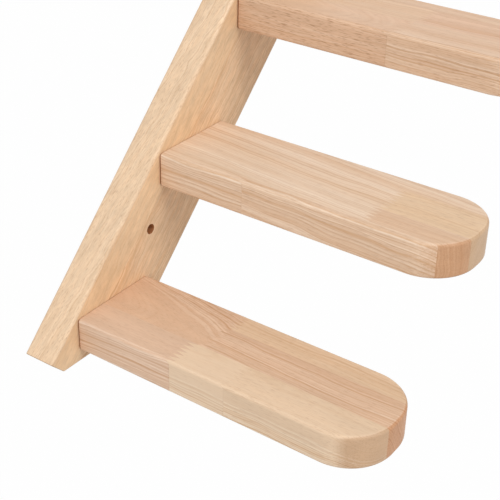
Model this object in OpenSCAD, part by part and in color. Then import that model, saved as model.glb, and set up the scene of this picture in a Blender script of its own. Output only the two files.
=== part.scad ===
// Cat wall shelf: three steps with rounded ends, bolted to a slanting stringer board.
// The wall is the plane y = 0, the room is on the -Y side, +Z is up.
// The origin lies on the wall, midway between the two wall screw holes.

/* [Stringer] */
// Width of the stringer across its face
stringer_w = 66; // [58:1:90]
// Thickness of the stringer, from the wall to the steps
stringer_t = 22; // [20:0.5:26]
// Slope of the stringer to the level, in degrees
slope = 45; // [40:1:50]
// From the lowest step's middle to the square nose below it, along the stringer
lower_end = 46; // [44:1:90]
// From the highest step's middle to the square nose above it, along the stringer
upper_end = 104; // [100:1:160]
// Width of the square nose that blunts each pointed end
nose_w = 14; // [8:1:20]
// Diameter of the wall screw holes
wall_hole_d = 6; // [4:0.5:8]
// Offset of the wall screw holes from the stringer's middle line, towards its upper edge
wall_hole_off = 3.5; // [0:0.5:8]

/* [Steps] */
// Length of a step, from the stringer to its round end
step_len = 200; // [140:1:300]
// Width of a step
step_w = 64; // [60:1:68]
// Thickness of a step
step_t = 22; // [18:0.5:26]
// Distance between the middles of two steps, along the stringer
step_pitch = 112; // [105:1:140]
// Radius of the two corners at a step's free end
corner_r = 29; // [12:1:31]
// Radius of the eased edges on all boards
edge_r = 2; // [1:0.5:4]

/* [Bolts] */
// Thread diameter of the bolts
bolt_d = 6; // [5:0.5:6]
// Length of a bolt with its head
bolt_len = 40; // [38:1:45]
// Diameter of the countersunk head
head_d = 11.5; // [10:0.5:13]
// Cylindrical rim of the head
head_rim = 0.6; // [0.3:0.1:1]
// Width of the hexagon socket across its flats
socket_w = 4; // [3:0.5:4]
// Depth of the hexagon socket
socket_depth = 2.4; // [1.5:0.1:3]
// Distance of each bolt from the step's nearer long edge
bolt_inset = 11; // [10:0.5:12]
// Depth of the head below the wall face
head_sink = 0.5; // [0.2:0.1:1]

/* [Inserts] */
// Diameter over the insert's outer thread
insert_d = 10; // [9:0.5:11]
// Length of the insert with its flange
insert_len = 15; // [10:1:18]
// Diameter of the insert's flange
flange_d = 13; // [12:0.5:14]
// Thickness of the insert's flange
flange_t = 1.5; // [1:0.1:2]
// Height of the outer thread
insert_thread_h = 0.7; // [0.4:0.1:1]
// Pitch of the outer thread
insert_pitch = 2.5; // [2:0.1:3]

/* [Dowels] */
// Diameter of the dowels
dowel_d = 8; // [6:0.5:8]
// Length of the dowels
dowel_len = 30; // [24:1:36]
// Depth of a dowel in the stringer
dowel_seat = 12; // [8:1:14]
// Distance of each dowel from the step's middle
dowel_off = 7; // [6:0.5:8]
// Chamfer at the ends of a dowel
dowel_chamfer = 1; // [0.5:0.1:1.5]
// Number of glue flutes round a dowel
flutes = 12; // [6:2:16]
// Radius of a glue flute
flute_r = 0.4; // [0.2:0.1:0.6]

/* [Hidden] */
// Radial gap round every bolt, insert and dowel
fit_gap = 0.1;
// Radial gap of the bolt in the stringer
bolt_gap = 0.25;
// Free depth past the end of every bolt and dowel
end_gap = 1;
// How far a cut runs past the faces that it opens
overrun = 5;
// Chamfer at the tip of a bolt
tip_chamfer = 0.8;
$fn = 96;

STEPS = ["lower_step", "middle_step", "upper_step"];
SIDES = ["left", "right"];

// Along the stringer: a step's middle, the two noses and the wall holes
function step_u(i) = (i - len(STEPS) / 2) * step_pitch;
lower_u = step_u(0) - lower_end;
upper_u = step_u(len(STEPS) - 1) + upper_end;
wall_hole_u = step_pitch;
// Height of a point that lies u along the stringer and v downhill of its middle line
function height(u, v) = u * sin(slope) - (v + wall_hole_off) * cos(slope);
foot_z = height(lower_u, nose_w - stringer_w / 2);
top_z = height(upper_u, stringer_w / 2 - nose_w);
// Sideways place of the left and right fastener
function side(h) = h == 0 ? -1 : 1;

// Distance of each bolt from the step's middle
bolt_off = step_w / 2 - bolt_inset;
head_r = head_d / 2;
head_h = head_r - bolt_d / 2;
bolt_hole_r = bolt_d / 2 + bolt_gap;
insert_r = insert_d / 2;
dowel_r = dowel_d / 2;
// How far the bolts and dowels reach into a step
bolt_reach = bolt_len + head_sink - stringer_t;
dowel_reach = dowel_len - dowel_seat;

WOOD_STRINGER = "#DDB68C";
WOOD_STEP = "#DEB38D";
BEECH = "#D8B384";
STEEL = "#B4B7BA";
BRASS = "#C8A75A";

// Runs along the stringer's middle line: turns the local X axis uphill, with Y still into the wall
module along_stringer() {
    rotate([0, -slope, 0]) translate([0, 0, -wall_hole_off]) children();
}

// Puts its children at a step's middle, on the stringer's front face, pointing into the room
module at_step(i) {
    along_stringer()
        translate([step_u(i), -stringer_t, 0])
            rotate([0, slope, 0])
                rotate([90, 0, 0]) children();
}

// Puts its children at one side of a step's joint
module at_side(i, h, off) {
    at_step(i) translate([side(h) * off, 0, 0]) children();
}

// Board section with eased corners, centred on the origin
module eased_section(w, t) {
    square([w - 2 * edge_r, t], center = true);
    square([w, t - 2 * edge_r], center = true);
    for (x = [-1, 1], y = [-1, 1])
        translate([x * (w / 2 - edge_r), y * (t / 2 - edge_r)]) circle(r = edge_r);
}

// Half of a board section: eased on the side at x = w, square at x = 0
module half_section(w, t) {
    translate([0, -t / 2]) square([w - edge_r, t]);
    translate([0, edge_r - t / 2]) square([w, t - 2 * edge_r]);
    for (y = [-1, 1])
        translate([w - edge_r, y * (t / 2 - edge_r)]) circle(r = edge_r);
}

// Straight board, square at both ends, centred on the Z axis
module eased_board(w, t, len) {
    linear_extrude(len) eased_section(w, t);
}

// One step with its round end, along +Z from the stringer's face, width along X
module step_blank() {
    straight = step_len - corner_r;
    flat_w = step_w - 2 * corner_r;
    eased_board(step_w, step_t, straight);
    translate([0, 0, straight]) {
        for (m = [0, 1])
            mirror([m, 0, 0])
                translate([flat_w / 2, 0, 0])
                    rotate([90, 0, 0])
                        rotate_extrude(angle = 90) half_section(corner_r, step_t);
        translate([-flat_w / 2, 0, 0])
            rotate([0, 90, 0])
                rotate([0, 0, 180])
                    linear_extrude(flat_w) half_section(corner_r, step_t);
    }
}

// Hole for an insert and for the bolt's tip behind it
module insert_hole() {
    translate([0, 0, -overrun]) cylinder(r = flange_d / 2 + fit_gap, h = overrun + flange_t);
    translate([0, 0, -overrun]) cylinder(r = insert_r + fit_gap, h = overrun + insert_len);
    translate([0, 0, -overrun]) cylinder(r = bolt_hole_r, h = overrun + bolt_reach + end_gap);
}

module step(i) {
    color(WOOD_STEP)
        at_step(i)
            difference() {
                step_blank();
                for (h = [0, 1]) {
                    translate([side(h) * bolt_off, 0, 0]) insert_hole();
                    translate([side(h) * dowel_off, 0, -overrun])
                        cylinder(r = dowel_r + fit_gap, h = overrun + dowel_reach + end_gap);
                }
            }
}

// Countersunk bolt hole through the stringer, open at the wall
module bolt_hole() {
    translate([0, 0, -stringer_t - overrun]) cylinder(r = bolt_hole_r, h = stringer_t + 2 * overrun);
    translate([0, 0, -stringer_t - overrun])
        cylinder(r = head_r + fit_gap, h = overrun + head_sink + head_rim);
    translate([0, 0, head_sink + head_rim - stringer_t])
        cylinder(r1 = head_r + fit_gap, r2 = bolt_d / 2 + fit_gap, h = head_h);
}

module stringer() {
    room = stringer_w + upper_u - lower_u;
    color(WOOD_STRINGER)
        difference() {
            along_stringer()
                translate([lower_u, -stringer_t / 2, 0])
                    rotate([90, 0, 90]) eased_board(stringer_t, stringer_w, upper_u - lower_u);
            // Level cuts at the foot and the top
            translate([-room, -stringer_t - overrun, foot_z - room])
                cube([2 * room, stringer_t + 2 * overrun, room]);
            translate([-room, -stringer_t - overrun, top_z])
                cube([2 * room, stringer_t + 2 * overrun, room]);
            // Wall screw holes
            for (s = [-1, 1])
                along_stringer()
                    translate([s * wall_hole_u, overrun, wall_hole_off])
                        rotate([90, 0, 0]) cylinder(d = wall_hole_d, h = stringer_t + 2 * overrun);
            // Joints of the steps
            for (i = [0 : len(STEPS) - 1], h = [0, 1]) {
                at_side(i, h, bolt_off) bolt_hole();
                at_side(i, h, dowel_off)
                    translate([0, 0, -dowel_seat - end_gap])
                        cylinder(r = dowel_r + fit_gap, h = dowel_seat + end_gap + overrun);
            }
        }
}

// Countersunk socket bolt, head at the wall, tip along +Z
module bolt(i, h) {
    shank = bolt_len - head_rim - head_h - tip_chamfer;
    color(STEEL)
        at_side(i, h, bolt_off)
            translate([0, 0, head_sink - stringer_t])
                difference() {
                    rotate_extrude()
                        polygon([
                            [0, 0],
                            [head_r, 0],
                            [head_r, head_rim],
                            [bolt_d / 2, head_rim + head_h],
                            [bolt_d / 2, head_rim + head_h + shank],
                            [bolt_d / 2 - tip_chamfer, bolt_len],
                            [0, bolt_len]
                        ]);
                    translate([0, 0, -overrun])
                        cylinder(d = socket_w / cos(30), h = overrun + socket_depth, $fn = 6);
                }
}

// Insert nut with a flange at the step's end and ribs for its outer thread
module insert(i, h) {
    core_r = insert_r - insert_thread_h;
    ribs = floor((insert_len - flange_t) / insert_pitch);
    color(BRASS)
        at_side(i, h, bolt_off)
            difference() {
                union() {
                    cylinder(d = flange_d, h = flange_t);
                    cylinder(r = core_r, h = insert_len);
                    for (k = [0 : ribs - 1])
                        translate([0, 0, flange_t + k * insert_pitch])
                            rotate_extrude()
                                polygon([
                                    [0, 0],
                                    [core_r, 0],
                                    [insert_r, insert_pitch / 2],
                                    [core_r, insert_pitch],
                                    [0, insert_pitch]
                                ]);
                }
                translate([0, 0, -overrun])
                    cylinder(r = bolt_d / 2 + fit_gap, h = insert_len + 2 * overrun);
            }
}

// Fluted dowel across the joint, chamfered at both ends
module dowel(i, h) {
    color(BEECH)
        at_side(i, h, dowel_off)
            translate([0, 0, -dowel_seat])
                difference() {
                    rotate_extrude()
                        polygon([
                            [0, 0],
                            [dowel_r - dowel_chamfer, 0],
                            [dowel_r, dowel_chamfer],
                            [dowel_r, dowel_len - dowel_chamfer],
                            [dowel_r - dowel_chamfer, dowel_len],
                            [0, dowel_len]
                        ]);
                    for (k = [0 : flutes - 1])
                        rotate(k * 360 / flutes)
                            translate([dowel_r, 0, -overrun])
                                cylinder(r = flute_r, h = dowel_len + 2 * overrun, $fn = 24);
                }
}

stringer();
for (i = [0 : len(STEPS) - 1]) {
    step(i);
    for (h = [0, 1]) {
        bolt(i, h);
        insert(i, h);
        dowel(i, h);
    }
}
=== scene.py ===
"""Looks of the cat wall shelf: three round-ended steps on a slanting stringer, all in rubberwood.

The wall is the plane y = 0, the room is on the -Y side and +Z is up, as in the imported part.
"""

import logging
import math
from abc import ABC, abstractmethod
from dataclasses import dataclass
from enum import Enum
from functools import cached_property

import bmesh
import bpy
from mathutils import Matrix, Quaternion, Vector


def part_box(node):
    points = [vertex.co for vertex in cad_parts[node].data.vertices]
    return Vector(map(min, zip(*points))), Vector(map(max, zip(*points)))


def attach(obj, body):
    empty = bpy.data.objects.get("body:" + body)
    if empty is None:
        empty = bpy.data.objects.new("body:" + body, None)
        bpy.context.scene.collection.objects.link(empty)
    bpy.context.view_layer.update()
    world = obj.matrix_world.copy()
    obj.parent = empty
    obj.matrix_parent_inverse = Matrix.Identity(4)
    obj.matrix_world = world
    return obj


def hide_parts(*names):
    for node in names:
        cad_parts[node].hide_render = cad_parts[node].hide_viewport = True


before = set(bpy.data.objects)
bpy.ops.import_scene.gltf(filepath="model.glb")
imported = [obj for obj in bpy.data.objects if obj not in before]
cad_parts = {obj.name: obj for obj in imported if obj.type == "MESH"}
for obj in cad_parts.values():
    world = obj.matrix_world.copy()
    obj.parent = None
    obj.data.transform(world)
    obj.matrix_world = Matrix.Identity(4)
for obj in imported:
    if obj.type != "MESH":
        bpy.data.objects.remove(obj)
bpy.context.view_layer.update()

LOG = logging.getLogger("cat_wall_shelf")
MM = 0.001

Node = bpy.types.Node
Socket = bpy.types.NodeSocket
NodeTree = bpy.types.NodeTree
Bore = tuple[tuple[float, float], ...]
Feed = float | tuple[float, ...] | Node | Socket


class Direction(Enum):
    """The way a hole is drilled into a board."""

    THROUGH = "through the thickness, from the room side"
    ALONG = "along the board, from its joint end"


class Ray(Enum):
    """The rays that see the plain white of the background."""

    CAMERA = "Is Camera Ray"
    GLOSSY = "Is Glossy Ray"
    TRANSMISSION = "Is Transmission Ray"


def linear(code: str) -> tuple[float, float, float, float]:
    """Turns an sRGB hex code into the linear colour that Blender works in.

    Args:
        code: The colour as "#RRGGBB".

    Returns:
        Linear red, green, blue and an alpha of 1.
    """
    levels = [int(code[i : i + 2], 16) / 255 for i in (1, 3, 5)]
    red, green, blue = ((v / 12.92) if v <= 0.04045 else ((v + 0.055) / 1.055) ** 2.4 for v in levels)
    return (red, green, blue, 1.0)


def add(tree: NodeTree, kind: str, feeds: dict[str | int, Feed] | None = None, **settings: object) -> Node:
    """Adds one shader node with its settings, and links or sets its inputs.

    Args:
        tree: The node tree that takes the node.
        kind: The node's Blender type, without its "ShaderNode".
        feeds: Input name or number to a value, or to the node or socket that feeds it.
        settings: The node's own settings.

    Returns:
        The new node.
    """
    node = tree.nodes.new("ShaderNode" + kind)
    for name, value in settings.items():
        setattr(node, name, value)
    for key, feed in (feeds or {}).items():
        socket = next(s for i, s in enumerate(node.inputs) if key in (i, s.name) and s.enabled)
        if isinstance(feed, Node):
            feed = next(s for s in feed.outputs if s.enabled)
        if isinstance(feed, Socket):
            tree.links.new(feed, socket)
        else:
            socket.default_value = feed
    return node


def blank_material(name: str) -> tuple[bpy.types.Material, NodeTree]:
    """Makes an empty node material.

    Args:
        name: The material's name.

    Returns:
        The material and its node tree, with no nodes in it.
    """
    material = bpy.data.materials.new(name)
    material.use_nodes = True
    material.node_tree.nodes.clear()
    return material, material.node_tree


@dataclass(frozen=True)
class Mark:
    """A kind of mark in a surface, drawn as noise whose lumps have the mark's size.

    Attributes:
        size: Its size along each axis, in the unit of the coordinate that it is drawn on.
        detail: Octaves of finer marks in it.
    """

    size: tuple[float, float, float]
    detail: float = 2.0

    def draw(self, tree: NodeTree, place: Feed) -> Node:
        """Draws the mark.

        Args:
            tree: The material's node tree.
            place: The coordinate that it is drawn on.

        Returns:
            The noise, about 0.5 on average.
        """
        scale = tuple(1 / side for side in self.size)
        scaled = add(tree, "VectorMath", {0: place, 1: scale}, operation="MULTIPLY")
        feeds = {"Vector": scaled, "Scale": 1.0, "Detail": self.detail, "Roughness": 0.6}
        return add(tree, "TexNoise", feeds)


@dataclass(frozen=True)
class Rubberwood:
    """Plantation rubberwood under clear satin lacquer: creamy to pinkish tan, striped and finely pored.

    The lacquer keeps the gloss soft. Marks are sized in mm: across, through and along the grain.

    Attributes:
        name: The material's name.
        cream_light: The light wood of a creamy stick.
        cream_dark: The dark wood of a creamy stick.
        pink_light: The light wood of a pinkish stick.
        pink_dark: The dark wood of a pinkish stick.
        vein: The thin dark lines of growth.
        pore: The pores.
        cream_end: The tint of a creamy stick's end grain.
        pink_end: The tint of a pinkish stick's end grain.
        shade: The colour of the painted shade in holes and open joints, also mixed faintly into the real
            glue lines.
        roughness: How soft the lacquer's reflections are.
        gloss: How strong they are.
        band: Width of the broad bands of growth, in mm.
        line: Width of the fine lines of growth, in mm.
        plain_r: How far from the pith the wood is plain, in mm.
        clear_r: How far from the pith its growth shows clearly, in mm.
        wander_reach: How far the trunk wanders, in mm.
        ripple_reach: How far wavy grain ripples, in mm.
        wander: The lumps that the trunk wanders in.
        ripple: The lumps that wavy grain ripples in.
        drift: The slow changes of tone.
        mottle: The cloudy tone of wavy grain.
        streak: The long fine streaks.
        fibre: The fibres, which give the lacquer a slight relief.
        dash: The dashes of the pores.
    """

    name: str = "rubberwood, satin lacquer"
    cream_light: str = "#F2D8B8"
    cream_dark: str = "#DFB98F"
    pink_light: str = "#EED2BA"
    pink_dark: str = "#D0A27C"
    vein: str = "#B17D55"
    pore: str = "#9C6539"
    cream_end: str = "#DFDAD5"
    pink_end: str = "#E4CBB4"
    shade: str = "#8A480F"
    roughness: float = 0.46
    gloss: float = 0.35
    band: float = 6.5
    line: float = 1.0
    plain_r: float = 26.0
    clear_r: float = 34.0
    wander_reach: float = 8.0
    ripple_reach: float = 5.0
    wander: Mark = Mark((30.0, 30.0, 110.0))
    ripple: Mark = Mark((14.0, 14.0, 34.0), 1.0)
    drift: Mark = Mark((16.0, 16.0, 130.0))
    mottle: Mark = Mark((4.0, 4.0, 24.0), 3.0)
    streak: Mark = Mark((1.2, 1.2, 75.0), 4.0)
    fibre: Mark = Mark((0.5, 0.5, 30.0))
    # Pores are 0.2 to 0.3 mm wide in life, and drawn about 0.5 mm wide so that they show
    dash: Mark = Mark((0.5, 0.5, 7.0), 1.0)

    def make(self) -> bpy.types.Material:
        """Builds the material from the grain that each board's mesh carries.

        Returns:
            The material.
        """
        material, tree = blank_material(self.name)
        grain = add(tree, "Attribute", attribute_name="grain").outputs["Vector"]
        stock = add(tree, "Attribute", attribute_name="stock")
        warm, depth, bold = add(tree, "SeparateColor", {"Color": stock}).outputs
        face = add(tree, "Attribute", attribute_name="face")
        end, dark, wave = add(tree, "SeparateColor", {"Color": face}).outputs
        figure, veins = self.figure(tree, grain, bold, wave, face.outputs["Alpha"])
        creams = {"Factor": warm, "A": linear(self.cream_light), "B": linear(self.pink_light)}
        tans = {"Factor": warm, "A": linear(self.cream_dark), "B": linear(self.pink_dark)}
        lights = add(tree, "Mix", creams, data_type="RGBA")
        darks = add(tree, "Mix", tans, data_type="RGBA")
        wood = add(tree, "Mix", {"Factor": figure, "A": lights, "B": darks}, data_type="RGBA")
        limits = {"From Min": 0.3, "From Max": 0.7, "To Min": 0.95, "To Max": 1.05}
        drift = add(tree, "MapRange", {"Value": self.drift.draw(tree, grain), **limits})
        mottle = add(tree, "Math", {0: self.mottle.draw(tree, grain), 1: 0.5}, operation="SUBTRACT")
        mottle = add(tree, "Math", {0: mottle, 1: wave}, operation="MULTIPLY")
        level = add(tree, "Math", {0: mottle, 1: 0.4, 2: drift}, operation="MULTIPLY_ADD")
        multiply = {"data_type": "RGBA", "blend_type": "MULTIPLY"}
        wood = add(tree, "Mix", {"Factor": 1.0, "A": wood, "B": level}, **multiply)
        # A power takes a deeper stick's colour darker and more saturated together, as in real wood
        wood = add(tree, "Gamma", {"Color": wood, "Gamma": depth})
        wood = add(tree, "Mix", {"Factor": veins, "A": wood, "B": linear(self.vein)}, data_type="RGBA")
        limits = {"From Min": 0.53, "From Max": 0.75, "To Max": 0.65}
        dashes = add(tree, "MapRange", {"Value": self.dash.draw(tree, grain), **limits})
        pores = add(tree, "Math", {0: dashes, 1: stock.outputs["Alpha"]}, operation="MULTIPLY")
        wood = add(tree, "Mix", {"Factor": pores, "A": wood, "B": linear(self.pore)}, data_type="RGBA")
        tints = {"Factor": warm, "A": linear(self.cream_end), "B": linear(self.pink_end)}
        tint = add(tree, "Mix", tints, data_type="RGBA")
        wood = add(tree, "Mix", {"Factor": end, "A": wood, "B": tint}, **multiply)
        # Painted shade in holes and in the open joint, and the real dark of the glue lines
        wood = add(tree, "Mix", {"Factor": dark, "A": wood, "B": linear(self.shade)}, data_type="RGBA")
        fibre = self.fibre.draw(tree, grain)
        relief = add(tree, "Math", {0: fibre, 1: pores}, operation="SUBTRACT")
        bump = add(tree, "Bump", {"Height": relief, "Strength": 0.12, "Distance": 0.0002})
        satin = {"To Min": self.roughness - 0.05, "To Max": self.roughness + 0.06}
        gloss = add(tree, "MapRange", {"Value": fibre, "From Min": 0.3, "From Max": 0.7, **satin})
        gloss = add(tree, "Math", {0: dark, 1: 0.5, 2: gloss}, operation="MULTIPLY_ADD")
        surface = {"Base Color": wood, "Roughness": gloss, "Normal": bump, "Specular IOR Level": self.gloss}
        shader = add(tree, "BsdfPrincipled", surface)
        add(tree, "OutputMaterial", {"Surface": shader})
        return material

    def figure(
        self, tree: NodeTree, grain: Socket, bold: Socket, wave: Socket, broad: Socket
    ) -> tuple[Node, Node]:
        """Draws the growth layers and streaks of a stick.

        Args:
            tree: The material's node tree.
            grain: Place in the stick in mm: across, through and along it, from the tree's pith.
            bold: How strongly the figure shows.
            wave: How wavy the layers are.
            broad: How much of the figure is broad bands.

        Returns:
            The figure, 0 where the wood is light and 1 where it is dark, and the share of thin dark veins.
        """
        section = add(tree, "VectorMath", {0: grain, 1: (1.0, 1.0, 0.0)}, operation="MULTIPLY")
        radius = add(tree, "VectorMath", {0: section}, operation="LENGTH")
        # The trunk wanders and ripples, so its layers run out of a flat face in long arches
        rippled = add(tree, "Math", {0: self.ripple.draw(tree, grain), 1: wave}, operation="MULTIPLY")
        wander = self.wander.draw(tree, grain)
        layer = add(tree, "Math", {0: wander, 1: self.wander_reach, 2: radius}, operation="MULTIPLY_ADD")
        layer = add(tree, "Math", {0: rippled, 1: self.ripple_reach, 2: layer}, operation="MULTIPLY_ADD")
        noises = []
        for width, detail in ((self.band, 1.0), (self.line, 2.0)):
            step = add(tree, "Math", {0: layer, 1: width}, operation="DIVIDE")
            feeds = {"W": step, "Scale": 1.0, "Detail": detail}
            noises.append(add(tree, "TexNoise", feeds, noise_dimensions="1D"))
        bands, lines = (add(tree, "Math", {0: noise, 1: 0.5}, operation="SUBTRACT") for noise in noises)
        # Wood near the pith is plain, and the later layers are clearer
        limits = {"From Min": self.plain_r, "From Max": self.clear_r, "To Min": 0.15}
        grown = add(tree, "MapRange", {"Value": radius, **limits})
        age = add(tree, "Math", {0: grown, 1: bold}, operation="MULTIPLY")
        bands = add(tree, "Math", {0: bands, 1: broad}, operation="MULTIPLY")
        layers = add(tree, "Math", {0: lines, 1: 0.9, 2: bands}, operation="MULTIPLY_ADD")
        streaks = add(tree, "Math", {0: self.streak.draw(tree, grain), 1: 0.5}, operation="SUBTRACT")
        shown = add(tree, "Math", {0: streaks, 1: 0.7, 2: layers}, operation="MULTIPLY_ADD")
        shown = add(tree, "Math", {0: shown, 1: age}, operation="MULTIPLY")
        figure = add(tree, "MapRange", {"Value": shown, "From Min": -0.3, "From Max": 0.3})
        thin = add(tree, "MapRange", {"Value": lines, "From Min": 0.1, "From Max": 0.28, "To Max": 0.2})
        veins = add(tree, "Math", {0: thin, 1: age}, operation="MULTIPLY")
        return figure, veins


@dataclass(frozen=True)
class Beech:
    """Bare beech of the dowels: pinkish brown, with short dark flecks along the grain, sized in metres."""

    name: str = "beech, bare"
    light: str = "#DEBB92"
    dark: str = "#C79C6E"
    fleck: str = "#A77B4F"
    roughness: float = 0.62
    streaks: Mark = Mark((0.0008, 0.03, 0.0008), 3.0)
    flecks: Mark = Mark((0.0004, 0.002, 0.0004), 1.0)

    def make(self) -> bpy.types.Material:
        """Builds the material; the dowels' grain runs along Y.

        Returns:
            The material.
        """
        material, tree = blank_material(self.name)
        place = add(tree, "TexCoord").outputs["Object"]
        streaks = {"Value": self.streaks.draw(tree, place), "From Min": 0.3, "From Max": 0.7}
        share = add(tree, "MapRange", streaks)
        shades = {"Factor": share, "A": linear(self.light), "B": linear(self.dark)}
        wood = add(tree, "Mix", shades, data_type="RGBA")
        flecks = {"Value": self.flecks.draw(tree, place), "From Min": 0.6, "From Max": 0.7, "To Max": 0.6}
        share = add(tree, "MapRange", flecks)
        wood = add(tree, "Mix", {"Factor": share, "A": wood, "B": linear(self.fleck)}, data_type="RGBA")
        shader = add(tree, "BsdfPrincipled", {"Base Color": wood, "Roughness": self.roughness})
        add(tree, "OutputMaterial", {"Surface": shader})
        return material


@dataclass(frozen=True)
class Metal:
    """A bright metal: full metallic, so its colour is in its reflections, with slight handling marks and a
    painted shade in a recess.

    Attributes:
        name: The material's name.
        bright: Its colour where it is clean.
        dull: Its colour where it has been handled.
        roughness: How soft its reflections are.
        recess: The colour of the painted shade in a recess, the socket of a bolt head.
        socket_shade_y: Where the painted shade of a recess begins on the Y axis, in metres; it deepens
            towards -Y.
        cloud: The handling marks, in metres.
    """

    name: str
    bright: str
    dull: str
    roughness: float
    recess: str = "#50545A"
    socket_shade_y: float = -1.0
    cloud: Mark = Mark((0.002, 0.002, 0.002), 3.0)

    def make(self) -> bpy.types.Material:
        """Builds the material.

        Returns:
            The material.
        """
        material, tree = blank_material(self.name)
        place = add(tree, "TexCoord").outputs["Object"]
        cloud = self.cloud.draw(tree, place)
        share = add(tree, "MapRange", {"Value": cloud, "From Min": 0.35, "From Max": 0.7})
        shades = {"Factor": share, "A": linear(self.bright), "B": linear(self.dull)}
        tint = add(tree, "Mix", shades, data_type="RGBA")
        # Painted shade in a bolt head's socket: the metal darkens past a depth towards -Y
        depth = add(tree, "SeparateXYZ", {"Vector": place}).outputs["Y"]
        limits = {"From Min": self.socket_shade_y, "From Max": self.socket_shade_y - 0.0005, "To Max": 0.8}
        share = add(tree, "MapRange", {"Value": depth, **limits})
        shades = {"Factor": share, "A": tint, "B": linear(self.recess)}
        tint = add(tree, "Mix", shades, data_type="RGBA")
        limits = {"To Min": self.roughness - 0.06, "To Max": self.roughness + 0.08}
        gloss = add(tree, "MapRange", {"Value": cloud, "From Min": 0.3, "From Max": 0.7, **limits})
        shader = add(tree, "BsdfPrincipled", {"Base Color": tint, "Metallic": 1.0, "Roughness": gloss})
        add(tree, "OutputMaterial", {"Surface": shader})
        return material


# Bright zinc is a bluish grey, a little cloudy; turned brass is a pale yellow
# The zinc bolts get painted shade in their sockets
ZINC = Metal("zinc-plated steel", "#C9CED2", "#A9AFB5", 0.34, socket_shade_y=-0.0006)
BRASS = Metal("brass, turned", "#D8B866", "#B99447", 0.28)


@dataclass(frozen=True)
class Stick:
    """One stick of wood in a glued board.

    Attributes:
        warm: 0 is creamy and 1 is pinkish tan.
        depth: How deep its colour is beside an average stick, which is 1.
        bold: How strongly its grain shows.
        pores: How strongly its pores show.
        pith: Where the middle of its tree lay, across and through the board, in mm.
        lean: How far its grain leans across and through the board, per mm along it.
        shift: How far along its tree it was cut, in mm.
        broad: How much of its grain is broad bands, where 0 is fine lines alone.
        ends: How much its end grain darkens, where 1 is the usual.
    """

    warm: float
    depth: float = 1.0
    bold: float = 1.0
    pores: float = 0.5
    pith: tuple[float, float] = (0.0, -60.0)
    lean: tuple[float, float] = (0.0, 0.0)
    shift: float = 0.0
    broad: float = 1.0
    ends: float = 1.0


@dataclass(frozen=True)
class Strip:
    """Sticks that are finger-jointed end to end, glued side by side with other strips to make a board.

    Attributes:
        start: Where the strip begins across the board, in mm.
        sticks: Its sticks, one more than its joints.
        joints: Where its finger joints lie along the board, in mm.
    """

    start: float
    sticks: tuple[Stick, ...]
    joints: tuple[float, ...] = ()


@dataclass(frozen=True)
class Drill:
    """One round hole in a board.

    Attributes:
        at: Where it starts: across and along the board, or across and through it, in mm.
        direction: The way it is drilled.
        bore: Pairs of depth and radius in mm, from outside the board inwards.
    """

    at: tuple[float, float]
    direction: Direction
    bore: Bore

    def lines(self, spot: Vector, normal: Vector) -> bool:
        """Whether a face lines this hole.

        Args:
            spot: The face's middle, in the board's own mm.
            normal: The face's normal.

        Returns:
            True for a face of the hole's wall.
        """
        through = self.direction is Direction.THROUGH
        beside = spot.z if through else spot.y
        facing = normal.y if through else normal.z
        off = math.hypot(spot.x - self.at[0], beside - self.at[1])
        reached = through or spot.z < self.bore[-1][0]
        return reached and off <= max(radius for _, radius in self.bore) and abs(facing) < 0.9


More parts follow.
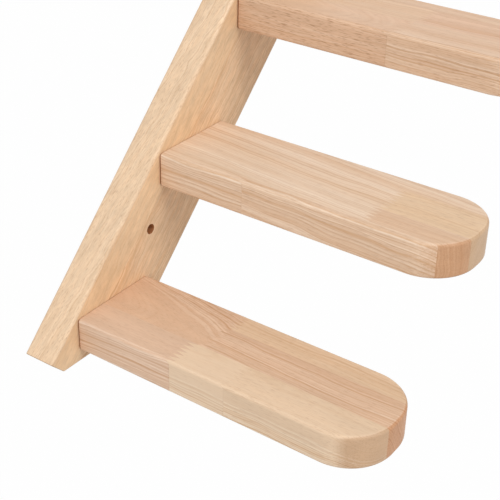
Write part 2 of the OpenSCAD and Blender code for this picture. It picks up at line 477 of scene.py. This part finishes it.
@dataclass
class Board(ABC):
    """A glued board with eased edges, modelled in mm across (x), through (y) and along it (z).

    Attributes:
        node: The CAD node that the board stands for.
        strips: The strips that it is glued from, in order across it.
        edge_r: Radius of its eased edges.
        soft: How far its other edges are taken off.
        tooth_pitch: Width of a tooth in its finger joints.
        tooth_depth: Length of a tooth.
        glue: Width of a finger joint's glue line, along the board.
        wave: How wavy its grain is, from 0 to 1.
        wave_crowd: How much shorter the streaks of wavy grain are.
        bore_dark_and_shade: How dark its holes are, from 0 to 1: partly the bare wood of the bore, partly
            painted shade inside the hole.
        glue_dark: How dark its glue lines are.
        end_from: How far a face turns to the grain before it shows end grain, as a share of its normal.
        end_to: How far it turns until it shows end grain fully.
        flat_area: Faces larger than this, in mm2, are shaded flat.
        ease_steps: Faces across an eased edge.
        sides: Faces round a hole.
    """

    node: str
    strips: tuple[Strip, ...]
    edge_r: float = 2.0
    soft: float = 0.6
    tooth_pitch: float = 3.4
    tooth_depth: float = 7.0
    glue: float = 0.5
    wave: float = 0.2
    wave_crowd: float = 1.2
    bore_dark_and_shade: float = 0.85
    glue_dark: float = 0.09
    end_from: float = 0.28
    end_to: float = 0.48
    flat_area: float = 150.0
    ease_steps: int = 8
    sides: int = 48

    @cached_property
    @abstractmethod
    def thickness(self) -> float:
        """The board's thickness in mm, as its CAD node has it."""

    @abstractmethod
    def outline(self) -> list[tuple[float, float]]:
        """The board's outline across and along it, in mm."""

    @abstractmethod
    def is_eased(self, middle: Vector) -> bool:
        """Whether a rim edge with this middle is eased."""

    @abstractmethod
    def drills(self) -> list[Drill]:
        """The holes in the board."""

    @abstractmethod
    def place(self) -> Matrix:
        """The move from the board's own mm to the part's frame."""

    def joint_gap_shade(self, spot: Vector, normal: Vector) -> float:
        """How much painted shade a face gets because it lies in an open joint; boards with joints of their
        own say where.
        """
        return 0.0

    def build(self) -> bpy.types.Object:
        """Makes the board and puts it in the place of its CAD node.

        Returns:
            The board, without its finish.
        """
        shape = self.drilled(self.blank())
        self.cut_sticks(shape)
        mesh = bpy.data.meshes.new(self.node + "_board")
        shape.to_mesh(mesh)
        shape.free()
        self.write_grain(mesh)
        mesh.transform(self.place())
        board = bpy.data.objects.new(self.node + "_board", mesh)
        bpy.context.scene.collection.objects.link(board)
        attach(board, "root")
        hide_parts(self.node)
        return board

    @staticmethod
    def dress(board: bpy.types.Object, wood: bpy.types.Material) -> None:
        """Gives the board its finish.

        Args:
            board: The board.
            wood: The finish.
        """
        board.data.materials.append(wood)

    def blank(self) -> bmesh.types.BMesh:
        """Makes the board without its holes.

        Returns:
            The eased board.
        """
        shape = bmesh.new()
        half = self.thickness / 2
        loops = [[shape.verts.new((a, y, l)) for a, l in self.outline()] for y in (-half, half)]
        count = len(loops[0])
        for loop in loops:
            shape.faces.new(loop)
        for i in range(count):
            j = (i + 1) % count
            shape.faces.new((loops[0][i], loops[0][j], loops[1][j], loops[1][i]))
        bmesh.ops.recalc_face_normals(shape, faces=shape.faces)
        rims = [e for e in shape.edges if abs(e.verts[0].co.y - e.verts[1].co.y) < 1e-6]
        eased = [e for e in rims if self.is_eased((e.verts[0].co + e.verts[1].co) / 2)]
        self.round_off(shape, eased, self.edge_r, self.ease_steps)
        sharp = [e for e in shape.edges if e.calc_face_angle(0.0) > math.radians(30)]
        self.round_off(shape, sharp, self.soft, 2)
        return shape

    @staticmethod
    def round_off(
        shape: bmesh.types.BMesh, edges: list[bmesh.types.BMEdge], radius: float, steps: int
    ) -> None:
        """Rounds edges of a shape.

        Args:
            shape: The shape.
            edges: Which edges are rounded.
            radius: The rounding's size in mm.
            steps: Faces across the rounding.
        """
        bmesh.ops.bevel(
            shape,
            geom=edges,
            offset=radius,
            offset_type="OFFSET",
            segments=steps,
            profile=0.5,
            affect="EDGES",
            clamp_overlap=False,
        )

    def drilled(self, shape: bmesh.types.BMesh) -> bmesh.types.BMesh:
        """Cuts the holes into the board.

        Args:
            shape: The board without holes; it is used up.

        Returns:
            The board with its holes.
        """
        cutter = bmesh.new()
        for drill in self.drills():
            self.add_cutter(cutter, drill)
        bmesh.ops.recalc_face_normals(cutter, faces=cutter.faces)
        objects = []
        for name, part in (("blank", shape), ("cutter", cutter)):
            mesh = bpy.data.meshes.new(name)
            part.to_mesh(mesh)
            part.free()
            objects.append(bpy.data.objects.new(name, mesh))
            bpy.context.scene.collection.objects.link(objects[-1])
        blank, tool = objects
        modifier = blank.modifiers.new("holes", "BOOLEAN")
        modifier.operation = "DIFFERENCE"
        modifier.solver = "EXACT"
        modifier.object = tool
        depsgraph = bpy.context.evaluated_depsgraph_get()
        result = bmesh.new()
        result.from_object(blank, depsgraph)
        for thing in objects:
            mesh = thing.data
            bpy.data.objects.remove(thing)
            bpy.data.meshes.remove(mesh)
        return result

    def add_cutter(self, cutter: bmesh.types.BMesh, drill: Drill) -> None:
        """Adds the round tool that cuts one hole.

        Args:
            cutter: The shape that holds all the tools.
            drill: The hole.
        """
        rings = []
        for depth, radius in drill.bore:
            ring = []
            for i in range(self.sides):
                turn = 2 * math.pi * i / self.sides
                side, up = radius * math.cos(turn), radius * math.sin(turn)
                if drill.direction is Direction.THROUGH:
                    spot = (drill.at[0] + side, depth - self.thickness / 2, drill.at[1] + up)
                else:
                    spot = (drill.at[0] + side, drill.at[1] + up, depth)
                ring.append(cutter.verts.new(spot))
            rings.append(ring)
        cutter.faces.new(rings[0])
        cutter.faces.new(rings[-1])
        for one, two in zip(rings, rings[1:]):
            for i in range(self.sides):
                j = (i + 1) % self.sides
                cutter.faces.new((one[i], one[j], two[j], two[i]))

    def strip_at(self, across: float) -> int:
        """The number of the strip that a place across the board lies in."""
        return max([i for i, strip in enumerate(self.strips) if across >= strip.start], default=0)

    def past_joints(self, spot: Vector) -> list[float]:
        """How far a place lies past each finger joint of its strip.

        Args:
            spot: The place, in the board's own mm.

        Returns:
            The distances along the board, in mm, negative before a joint.
        """
        strip = self.strips[self.strip_at(spot.x)]
        turn = ((spot.x - strip.start) / self.tooth_pitch) % 1.0
        zigzag = self.tooth_depth * (abs(2 * turn - 1) - 0.5)
        return [spot.z - joint - zigzag for joint in strip.joints]

    def stick_at(self, spot: Vector) -> Stick:
        """The stick that a place on the board belongs to."""
        return self.strips[self.strip_at(spot.x)].sticks[sum(past > 0 for past in self.past_joints(spot))]

    @staticmethod
    def slice(
        shape: bmesh.types.BMesh, faces: list[bmesh.types.BMFace], point: Vector, normal: Vector
    ) -> None:
        """Cuts some faces of a shape along a plane.

        Args:
            shape: The shape.
            faces: The faces that are cut.
            point: A point on the plane.
            normal: The plane's normal.
        """
        edges = {e for f in faces for e in f.edges}
        verts = {v for f in faces for v in f.verts}
        geometry = [*faces, *edges, *verts]
        bmesh.ops.bisect_plane(shape, geom=geometry, dist=1e-5, plane_co=point, plane_no=normal)

    def cut_sticks(self, shape: bmesh.types.BMesh) -> None:
        """Cuts the board's faces along its glue lines and finger joints.

        Args:
            shape: The board.
        """
        for strip in self.strips[1:]:
            self.slice(shape, list(shape.faces), Vector((strip.start, 0, 0)), Vector((1, 0, 0)))
        for number, strip in enumerate(self.strips):
            for joint in strip.joints:
                self.cut_fingers(shape, number, joint)

    def cut_fingers(self, shape: bmesh.types.BMesh, number: int, joint: float) -> None:
        """Cuts one finger joint's zigzag, as the two edges of its glue line.

        Args:
            shape: The board.
            number: The number of the strip that is jointed.
            joint: Where the joint's middle lies along the board, in mm.
        """
        strip = self.strips[number]
        reach = self.tooth_depth / 2 + self.glue
        half = self.tooth_pitch / 2

        def band() -> list[bmesh.types.BMFace]:
            """The strip's faces."""
            return [f for f in shape.faces if self.strip_at(f.calc_center_median().x) == number]

        def teeth(left: float = -math.inf, right: float = math.inf) -> list[bmesh.types.BMFace]:
            """The strip's faces beside the joint, between two places across it."""
            middles = [(f, f.calc_center_median()) for f in band()]
            return [f for f, m in middles if abs(m.z - joint) < reach and left < m.x < right]

        for level in (joint - reach, joint + reach):
            self.slice(shape, band(), Vector((0, 0, level)), Vector((0, 0, 1)))
        places = [v.co.x for f in teeth() for v in f.verts]
        first = math.floor((min(places) - strip.start) / half)
        last = math.ceil((max(places) - strip.start) / half)
        for i in range(first, last):
            self.slice(shape, teeth(), Vector((strip.start + i * half, 0, joint)), Vector((1, 0, 0)))
        for i in range(first, last):
            edge = strip.start + i * half
            slope = self.tooth_depth / half * (1 if i % 2 else -1)
            for side in (-0.5, 0.5):
                middle = Vector((edge + half / 2, 0, joint + side * self.glue))
                self.slice(shape, teeth(edge, edge + half), middle, Vector((-slope, 0, 1)).normalized())

    def darkness(self, spot: Vector, normal: Vector, drills: list[Drill]) -> float:
        """How dark a face is painted: bare wood and painted shade in a hole, painted shade in the open
        joint, or the real dark of a glue line.

        Args:
            spot: The face's middle, in the board's own mm.
            normal: The face's normal.
            drills: The board's holes.

        Returns:
            0 for clean wood, up to 1.
        """
        if any(drill.lines(spot, normal) for drill in drills):
            # A hole's wall gets its bare wood's dark and painted shade
            return self.bore_dark_and_shade
        if any(abs(past) < self.glue / 2 for past in self.past_joints(spot)):
            return self.glue_dark
        return self.joint_gap_shade(spot, normal)

    def write_grain(self, mesh: bpy.types.Mesh) -> None:
        """Writes onto the mesh where each point lies in its stick, and what stick and face are like.

        Args:
            mesh: The board, in its own mm.
        """
        grain: list[float] = []
        stock: list[float] = []
        faces: list[float] = []
        drills = self.drills()
        for face in mesh.polygons:
            stick = self.stick_at(face.center)
            # The painted shade of holes and of the open joint, or the real dark of a glue line
            dark = self.darkness(face.center, face.normal, drills)
            flat = max(abs(part) for part in face.normal) > 0.9999 or face.area > self.flat_area
            face.use_smooth = not flat
            for loop in face.loop_indices:
                vertex = mesh.vertices[mesh.loops[loop].vertex_index]
                across, through, along = vertex.co
                grain.append(across + stick.lean[0] * along - stick.pith[0])
                grain.append(through + stick.lean[1] * along - stick.pith[1])
                # Wavy grain runs in and out of the faces, so its streaks are short
                grain.append((along + stick.shift) * (1 + self.wave_crowd * self.wave))
                stock.extend((stick.warm, stick.depth, stick.bold, stick.pores))
                normal = face.normal if flat else vertex.normal
                turned = (abs(normal.z) - self.end_from) / (self.end_to - self.end_from)
                end = stick.ends * min(1.0, max(0.0, turned))
                faces.extend((end, dark, self.wave, stick.broad))
        for name, kind, field, values in (
            ("grain", "FLOAT_VECTOR", "vector", grain),
            ("stock", "FLOAT_COLOR", "color", stock),
            ("face", "FLOAT_COLOR", "color", faces),
        ):
            mesh.attributes.new(name, kind, "CORNER").data.foreach_set(field, values)


@dataclass
class Step(Board):
    """A step with a round free end, bolted to the stringer at its square end.

    Attributes:
        corner_r: Radius of the free end's corners.
        bolt_inset: From the step's long edges to its bolts.
        dowel_off: From the step's middle line to its dowels.
        insert_bore: Pairs of depth and radius of the hole for an insert nut and its bolt.
        dowel_bore: Pairs of depth and radius of the hole for a dowel.
        gap: Width of the painted shade line where the step's sides meet the stringer.
        arc_steps: Faces round each corner.
    """

    corner_r: float = 29.0
    bolt_inset: float = 11.0
    dowel_off: float = 7.0
    insert_bore: Bore = ((-1.0, 6.6), (1.5, 6.6), (1.5, 5.1), (15.0, 5.1), (15.0, 3.25), (19.5, 3.25))
    dowel_bore: Bore = ((-1.0, 4.1), (19.0, 4.1))
    gap: float = 1.0
    arc_steps: int = 24

    @cached_property
    def size(self) -> Vector:
        """The CAD node's size in mm: width, length and thickness."""
        low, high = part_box(self.node)
        return (high - low) / MM

    @cached_property
    def thickness(self) -> float:
        """The step lies flat, so its thickness is its height."""
        return self.size.z

    def outline(self) -> list[tuple[float, float]]:
        """The step's outline: square at the stringer, with two round corners at the free end."""
        half, length, radius = self.size.x / 2, self.size.y, self.corner_r
        points = [(-half, 0.0)]
        for side in (-1, 1):
            for i in range(self.arc_steps + 1):
                turn = math.pi / 2 * i / self.arc_steps
                turn = turn if side < 0 else math.pi / 2 - turn
                across = side * (half - radius + radius * math.cos(turn))
                points.append((across, length - radius + radius * math.sin(turn)))
        points.append((half, 0.0))
        return points

    def is_eased(self, middle: Vector) -> bool:
        """All edges but those at the joint are eased."""
        return middle.z > 1e-6

    def drills(self) -> list[Drill]:
        """The holes for two insert nuts and two dowels, in the joint end."""
        bolt_off = self.size.x / 2 - self.bolt_inset
        holes = []
        for off, bore in ((bolt_off, self.insert_bore), (self.dowel_off, self.dowel_bore)):
            holes.extend(Drill((side * off, 0.0), Direction.ALONG, bore) for side in (-1, 1))
        return holes

    def cut_sticks(self, shape: bmesh.types.BMesh) -> None:
        """Cuts the edge of the painted shade line at the open joint, as well as the sticks.

        Args:
            shape: The board.
        """
        super().cut_sticks(shape)
        self.slice(shape, list(shape.faces), Vector((0, 0, self.gap)), Vector((0, 0, 1)))

    def joint_gap_shade(self, spot: Vector, normal: Vector) -> float:
        """The painted shade of the fine open line round the joint with the stringer, darkest at the step's
        sides.

        Args:
            spot: The face's middle, in the board's own mm.
            normal: The face's normal.

        Returns:
            0 away from the joint, up to 1.
        """
        if spot.z > self.gap or abs(normal.z) > 0.98:
            return 0.0
        # The top and the underside sit nearly tight, so they get less painted shade
        return 0.15 + 0.85 * abs(normal.x) if spot.z < self.soft else 0.8 * abs(normal.x)

    def place(self) -> Matrix:
        """Across is +X, through is +Z, and the step runs along -Y from the stringer."""
        low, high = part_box(self.node)
        joint = Vector(((low.x + high.x) / 2, high.y, (low.z + high.z) / 2))
        axes = Matrix(((1, 0, 0), (0, 0, -1), (0, 1, 0)))
        return Matrix.Translation(joint) @ (axes * MM).to_4x4()


@dataclass
class Stringer(Board):
    """The slanting board that lies on the wall and carries the steps.

    Attributes:
        width: Its width.
        nose: Width of the square end that is left on each point.
        lower_u: Where it ends downhill, from midway between the wall holes.
        upper_u: Where it ends uphill.
        pitch: From one step to the next, and from the middle to each wall hole.
        wall_hole_r: Radius of the wall screw holes.
        wall_hole_off: From its middle line up to the wall screw holes.
        rim: How far the rims of the wall screw holes are eased.
        bolt_r: Radius of the bolt holes.
        head_r: Radius of the recesses for the bolt heads.
        head_depth: Depth of a recess down to its cone.
        cone_depth: Depth of a recess down to the end of its cone.
        dowel_bore: Pairs of depth and radius of the hole for a dowel.
        step_places: Where the steps' middles lie along it, in pitches from its middle.
        bolt_off: From a step's middle to its bolts, on the level.
        dowel_off: From a step's middle to its dowels, on the level.
    """

    wave: float = 1.0
    width: float = 66.0
    nose: float = 14.0
    lower_u: float = -214.0
    upper_u: float = 160.0
    pitch: float = 112.0
    wall_hole_r: float = 3.0
    wall_hole_off: float = 3.5
    rim: float = 0.4
    bolt_r: float = 3.25
    head_r: float = 5.85
    head_depth: float = 1.1
    cone_depth: float = 3.74
    dowel_bore: Bore = ((-1.0, 4.1), (13.0, 4.1))
    step_places: tuple[float, ...] = (-1.5, -0.5, 0.5)
    bolt_off: float = 21.0
    dowel_off: float = 7.0

    @cached_property
    def thickness(self) -> float:
        """The stringer stands on the wall, so its thickness is its depth."""
        low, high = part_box(self.node)
        return (high.y - low.y) / MM

    def outline(self) -> list[tuple[float, float]]:
        """The stringer's outline: level cuts at both ends, with their points cut off square."""
        half = self.width / 2
        run = self.width - self.nose
        return [
            (-half, self.lower_u),
            (self.nose - half, self.lower_u),
            (half, self.lower_u + run),
            (half, self.upper_u),
            (half - self.nose, self.upper_u),
            (-half, self.upper_u - run),
        ]

    def is_eased(self, middle: Vector) -> bool:
        """Only the long edges are eased, before the ends are cut."""
        return abs(abs(middle.x) - self.width / 2) < 1e-6

    def drills(self) -> list[Drill]:
        """Two wall screw holes, and for each step two countersunk bolt holes and two dowel holes."""
        back = self.thickness
        screw, wide = self.wall_hole_r, self.wall_hole_r + self.rim
        front_end = ((-1.0, wide), (0.0, wide), (self.rim, screw))
        wall_end = ((back - self.rim, screw), (back, wide), (back + 1, wide))
        across = -self.wall_hole_off
        wall = front_end + wall_end
        holes = [Drill((across, side * self.pitch), Direction.THROUGH, wall) for side in (-1, 1)]
        plain = ((-1.0, self.bolt_r), (back - self.cone_depth, self.bolt_r))
        recess = ((back - self.head_depth, self.head_r), (back + 1, self.head_r))
        for step in self.step_places:
            for side in (-1, 1):
                for off, bore in ((self.bolt_off, plain + recess), (self.dowel_off, self.dowel_bore)):
                    shift = side * off * math.sqrt(0.5)
                    holes.append(Drill((shift, step * self.pitch + shift), Direction.THROUGH, bore))
        return holes

    def place(self) -> Matrix:
        """Along runs uphill at 45 degrees, across runs downhill, and through runs into the wall."""
        low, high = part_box(self.node)
        c = math.sqrt(0.5)
        axes = Matrix(((c, 0, c), (0, 1, 0), (-c, 0, c)))
        off = self.wall_hole_off * c * MM
        return Matrix.Translation((off, (low.y + high.y) / 2, -off)) @ (axes * MM).to_4x4()


@dataclass(frozen=True)
class Fasteners:
    """The bolts, insert nuts and dowels, which keep their CAD shapes."""

    bolt: Metal = ZINC
    insert: Metal = BRASS
    dowel: Beech = Beech()

    def dress(self) -> int:
        """Gives each fastener its real material.

        Returns:
            How many fasteners were dressed.
        """
        finishes = {"bolt": self.bolt.make(), "insert": self.insert.make(), "dowel": self.dowel.make()}
        dressed = 0
        for name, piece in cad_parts.items():
            kind = name.rsplit("_", 1)[-1]
            if kind in finishes:
                for slot in piece.material_slots:
                    slot.material = finishes[kind]
                dressed += 1
        return dressed


@dataclass(frozen=True)
class Lamp:
    """A soft lamp that lights from one direction.

    Attributes:
        name: What the lamp is for.
        towards: Direction from the part to the lamp.
        strength: Its level; 3.14 lights a face that looks at it fully.
        angle: How wide it looks from the part, in degrees, which sets how soft its shadows are.
    """

    name: str
    towards: tuple[float, float, float]
    strength: float
    angle: float

    def build(self) -> None:
        """Adds the lamp."""
        data = bpy.data.lights.new(self.name, "SUN")
        data.energy = self.strength
        data.angle = math.radians(self.angle)
        lamp = bpy.data.objects.new(self.name, data)
        lamp.rotation_euler = Vector(self.towards).to_track_quat("Z", "Y").to_euler()
        bpy.context.scene.collection.objects.link(lamp)


@dataclass(frozen=True)
class Studio:
    """A pale floor well below the hanging part, a white surround, soft lamps and the camera.

    Attributes:
        eye: Where the camera stands, in metres.
        aim: The point that it looks at.
        lens: Its focal length in mm, on a 36 mm wide sensor.
        roll: How far it is turned to the left about its line of sight, in degrees.
        floor_z: The floor's height.
        ambient: The surround's level as a light.
        bounce: The floor's level as a reflector.
        floor_white: The floor's level as it is seen.
        floor_glow: How much of its look is plain white glow, which keeps the part's shadow faint.
        floor_reach: How far it goes to each side.
        lamps: The lamps.
    """

    eye: tuple[float, float, float] = (-0.5549, -0.4271, 0.2741)
    aim: tuple[float, float, float] = (-0.0733, -0.0938, -0.0714)
    lens: float = 82.4
    roll: float = 1.4
    floor_z: float = -1.6
    ambient: float = 0.66
    bounce: float = 0.58
    floor_white: float = 0.95
    floor_glow: float = 0.9
    floor_reach: float = 30.0
    lamps: tuple[Lamp, ...] = (
        Lamp("overhead softbox", (-0.05, -0.72, 0.69), 1.15, 30.0),
        Lamp("left reflector", (-0.97, -0.1, 0.2), 0.85, 60.0),
    )

    def build(self) -> None:
        """Sets the whole studio up."""
        bpy.context.scene.view_settings.view_transform = "Standard"
        self.add_surround()
        self.add_floor()
        for lamp in self.lamps:
            lamp.build()
        self.add_camera()

    @staticmethod
    def seen(tree: NodeTree, unseen: float, seen: float) -> Node:
        """A level that differs for the rays that should see the plain background.

        Args:
            tree: A node tree of the surround.
            unseen: The level for other rays.
            seen: The level for those rays.

        Returns:
            The level.
        """
        path = add(tree, "LightPath")
        share = path.outputs[Ray.CAMERA.value]
        for ray in (Ray.GLOSSY, Ray.TRANSMISSION):
            either = {0: share, 1: path.outputs[ray.value]}
            share = add(tree, "Math", either, operation="MAXIMUM").outputs[0]
        return add(tree, "MapRange", {"Value": share, "To Min": unseen, "To Max": seen})

    def add_surround(self) -> None:
        """Makes the world white to look at, and softer as a light."""
        world = bpy.data.worlds.new("studio")
        world.use_nodes = True
        tree = world.node_tree
        tree.nodes.clear()
        level = self.seen(tree, self.ambient, 1.0)
        light = add(tree, "Background", {"Color": (1, 1, 1, 1), "Strength": level})
        add(tree, "OutputWorld", {"Surface": light})
        bpy.context.scene.world = world

    def add_floor(self) -> None:
        """Lays the floor, white to look at but for the part's soft shadow."""
        material, tree = blank_material("pale floor")
        paint = add(tree, "BsdfDiffuse", {"Color": self.seen(tree, self.bounce, self.floor_white)})
        glow = add(tree, "Emission", {"Color": (1, 1, 1, 1), "Strength": 1.0})
        mixed = add(tree, "MixShader", {0: self.seen(tree, 0.0, self.floor_glow), 1: paint, 2: glow})
        add(tree, "OutputMaterial", {"Surface": mixed})
        mesh = bpy.data.meshes.new("floor")
        reach = self.floor_reach
        corners = [(x * reach, y * reach, self.floor_z) for x, y in ((-1, -1), (1, -1), (1, 1), (-1, 1))]
        mesh.from_pydata(corners, [], [(0, 1, 2, 3)])
        mesh.materials.append(material)
        floor = bpy.data.objects.new("floor", mesh)
        bpy.context.scene.collection.objects.link(floor)

    def add_camera(self) -> None:
        """Stands the camera where the photograph was taken from."""
        data = bpy.data.cameras.new("camera")
        data.sensor_width = 36.0
        data.lens = self.lens
        data.clip_end = 200.0
        camera = bpy.data.objects.new("camera", data)
        camera.location = self.eye
        view = Vector(self.aim) - Vector(self.eye)
        turn = Quaternion((0, 0, 1), math.radians(self.roll))
        camera.rotation_euler = (view.to_track_quat("-Z", "Y") @ turn).to_euler()
        bpy.context.scene.collection.objects.link(camera)
        bpy.context.scene.camera = camera


# The sticks as the photograph shows them, from each board's left edge; the rest are chosen to go with them.
# Each is given as warm, depth, bold, pores, pith, lean, shift, broad and ends
ARCHED = Stick(0.9, 1.09, 1.0, 0.3, (2.0, -5.0), (0.07, 0.16), broad=0.5)
STRIPED = Stick(0.6, 0.8, 0.7, 0.3, (-110.0, -90.0), (0.08, 0.0), 400.0)
LOWER_STRIPS = (
    Strip(
        -32.85,
        (
            Stick(1.0, 0.97, 1.1, 0.3, (-6.0, 24.0), (0.0, -0.06), 40.0, 0.3),
            Stick(0.3, 0.87, 1.4, 0.2, (-12.0, 22.0), (0.0, 0.0), 300.0, 0.2),
            Stick(0.3, 0.9, 1.5, 0.4, (-12.0, 22.0), (0.0, 0.0), 700.0, 0.2),
        ),
        (69.5, 108.0),
    ),
    Strip(-8.8, (ARCHED, Stick(0.9, 1.07, 0.7, 0.4, (-70.0, -40.0), (0.0, 0.0), 950.0, 0.15)), (78.0,)),
    Strip(15.0, (ARCHED, Stick(0.4, 1.04, 0.55, 0.4, (90.0, -60.0), (0.01, 0.0), 1300.0, 0.3)), (79.0,)),
)
MIDDLE_STRIPS = (
    Strip(
        -32.85,
        (
            Stick(0.7, 0.88, 1.1, 0.4, (-110.0, -90.0), (0.02, 0.01), 60.0),
            Stick(0.7, 0.91, 1.0, 0.4, (-90.0, -100.0), (0.02, 0.02), 420.0, ends=0.45),
        ),
        (61.7,),
    ),
    Strip(-27.0, (STRIPED, Stick(0.75, 1.0, 0.5, 0.4, (-150.0, -10.0), (0.0, 0.0), 900.0, 0.9)), (142.0,)),
    Strip(
        -10.5,
        (STRIPED, Stick(0.15, 0.98, 0.45, 0.4, (60.0, -60.0), (0.0, 0.01), 1200.0, 0.3, 0.95)),
        (143.0,),
    ),
    Strip(17.0, (STRIPED,)),
)
UPPER_STRIPS = (
    Strip(
        -32.85,
        (
            Stick(0.9, 1.12, 0.5, 1.0, (-60.0, -40.0), (0.02, 0.01), 110.0, 0.3),
            Stick(0.8, 1.02, 0.9, 0.6, (-70.0, -50.0), (0.0, 0.02), 500.0, 0.25),
        ),
        (106.7,),
    ),
    Strip(
        -28.0,
        (
            Stick(0.9, 1.1, 0.25, 0.3, (-20.0, -12.0), (0.0, 0.12), 900.0),
            Stick(0.85, 1.06, 0.35, 0.4, (-80.0, -60.0), (0.02, 0.0), 1100.0),
        ),
        (109.0,),
    ),
    Strip(
        -6.5,
        (
            Stick(0.7, 1.1, 0.4, 0.3, (40.0, -40.0), (0.0, 0.0), 1500.0),
            Stick(1.0, 1.15, 0.3, 0.4, (60.0, -50.0), (0.0, 0.0), 1800.0),
        ),
        (112.0,),
    ),
    Strip(19.0, (Stick(0.85, 1.06, 0.5, 0.4, (60.0, -40.0), (0.0, 0.0), 2100.0),)),
)
STRINGER_STRIPS = (
    Strip(-33.0, (Stick(0.2, 0.96, 0.55, 0.55, (-20.0, -70.0), (0.06, 0.15), 200.0, 0.4),)),
    Strip(-31.0, (Stick(0.0, 1.15, 0.45, 0.3, (-110.0, -80.0), (0.03, 0.05), 600.0, 0.4),)),
    Strip(-11.0, (Stick(0.2, 1.18, 0.9, 0.4, (-90.0, -60.0), (0.02, 0.0), 900.0, 0.4),)),
    Strip(12.0, (Stick(0.2, 1.18, 0.9, 0.4, (-80.0, -60.0), (0.0, 0.02), 1400.0, 0.4),)),
    Strip(31.0, (Stick(0.1, 1.1, 0.7, 0.4, (20.0, -120.0), (0.02, 0.03), 1700.0, 0.4),)),
)


def main() -> None:
    """Builds the boards, dresses the fasteners and sets up the studio."""
    logging.basicConfig(level=logging.INFO, format="%(name)s: %(message)s")
    wood = Rubberwood().make()
    boards: list[Board] = [
        Stringer("stringer", STRINGER_STRIPS),
        Step("lower_step", LOWER_STRIPS),
        Step("middle_step", MIDDLE_STRIPS),
        Step("upper_step", UPPER_STRIPS),
    ]
    for board in boards:
        piece = board.build()
        board.dress(piece, wood)
        LOG.info("%s: %d faces", piece.name, len(piece.data.polygons))
    LOG.info("fasteners dressed: %d", Fasteners().dress())
    Studio().build()


if __name__ == "__main__":
    main()
